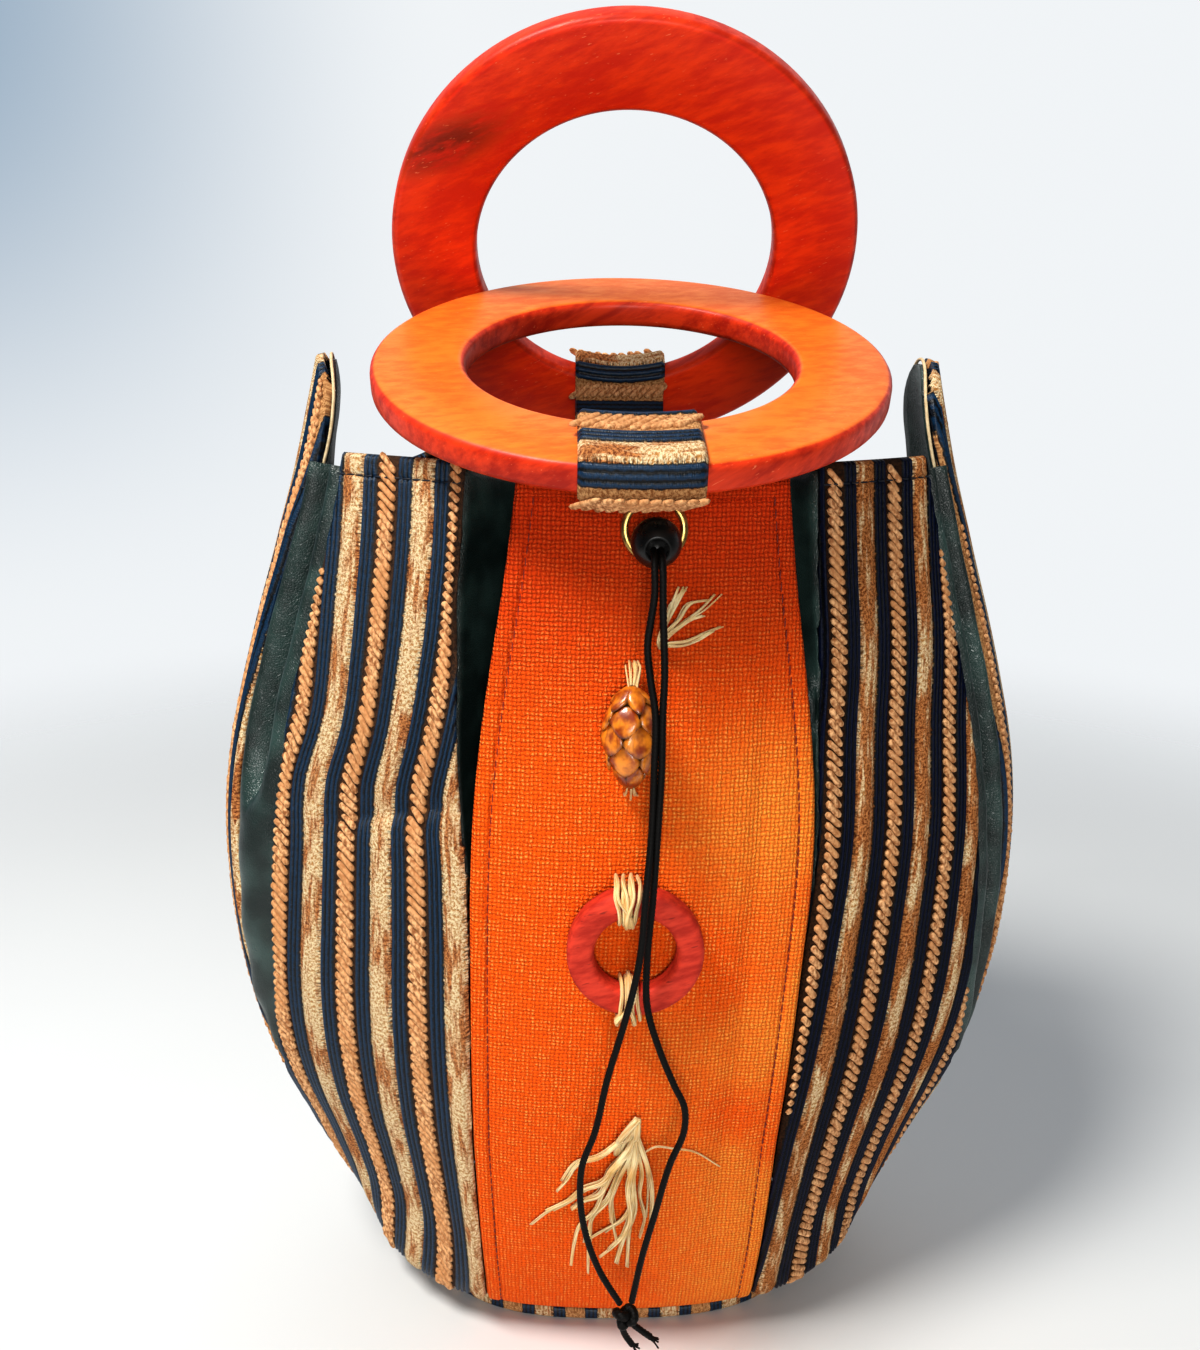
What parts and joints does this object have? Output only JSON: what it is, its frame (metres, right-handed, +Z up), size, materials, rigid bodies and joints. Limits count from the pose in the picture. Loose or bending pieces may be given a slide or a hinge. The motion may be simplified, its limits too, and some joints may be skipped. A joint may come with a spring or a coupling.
{
  "type": "handbag",
  "caption": "Tulip-shaped handbag sewn from striped and orange woven panels with folded leather gussets, ear tabs, wooden ring handles in cloth loops, a drawstring and raffia trim.",
  "frame": {"origin": "the middle of the base's underside, on the floor the bag stands on", "axes": "+Z up, the orange front panel faces -Y, +X to the right as the front is looked at"},
  "size_m": [0.26, 0.1791, 0.4135],
  "materials": {
    "striped_cloth": "woven stripes of cream chenille, navy satin cord and tan braid",
    "orange_cloth": "matte basket weave",
    "gusset_leather": "grained, dull sheen",
    "handle_wood": "orange-red stain under satin varnish",
    "red_wood": "dark red stain, dull",
    "black_plastic": "soft gloss",
    "black_cord": "twisted, waxed",
    "eyelet_brass": "worn polish",
    "raffia": "dry plant fibre",
    "seed_shell": "amber scales, slightly glossy"
  },
  "bodies": {
    "bag": {"base": "striped_cloth", "front_panel": "orange_cloth", "back_panel": "striped_cloth", "striped_panel_front_left": "striped_cloth", "striped_panel_front_right": "striped_cloth", "striped_panel_back_left": "striped_cloth", "striped_panel_back_right": "striped_cloth", "gusset_front_left": "gusset_leather", "gusset_front_right": "gusset_leather", "gusset_back_left": "gusset_leather", "gusset_back_right": "gusset_leather", "side_gusset_front_left": "gusset_leather", "side_gusset_front_right": "gusset_leather", "side_gusset_back_left": "gusset_leather", "side_gusset_back_right": "gusset_leather", "side_panel_left": "striped_cloth", "side_panel_right": "striped_cloth", "ear_lining_left": "gusset_leather", "ear_lining_right": "gusset_leather", "handle_tab_front": "striped_cloth", "handle_tab_rear": "striped_cloth", "cord_stop": "black_plastic", "cord_eyelet": "eyelet_brass", "cord_strand_left": "black_cord", "cord_strand_right": "black_cord", "cord_knot": "black_cord", "seed_pod": "seed_shell", "pod_tie_top": "raffia", "pod_tie_bottom": "raffia", "wood_ring": "red_wood", "ring_tie_top": "raffia", "ring_tie_bottom": "raffia", "raffia_tassel": "raffia", "raffia_tuft": "raffia"},
    "front_ring": {"handle_ring_front": "handle_wood"},
    "rear_ring": {"handle_ring_rear": "handle_wood"}
  },
  "joints": [
    {"name": "front_ring_turn", "type": "hinge", "parent": "bag", "child": "front_ring", "pos_m": [0, -0.0158, 0.3154], "axis": [0, -0.3223, 0.9466], "continuous": true},
    {"name": "rear_ring_turn", "type": "hinge", "parent": "bag", "child": "rear_ring", "pos_m": [0, 0.0374, 0.3504], "axis": [0, -0.8221, -0.5693], "continuous": true}
  ]
}
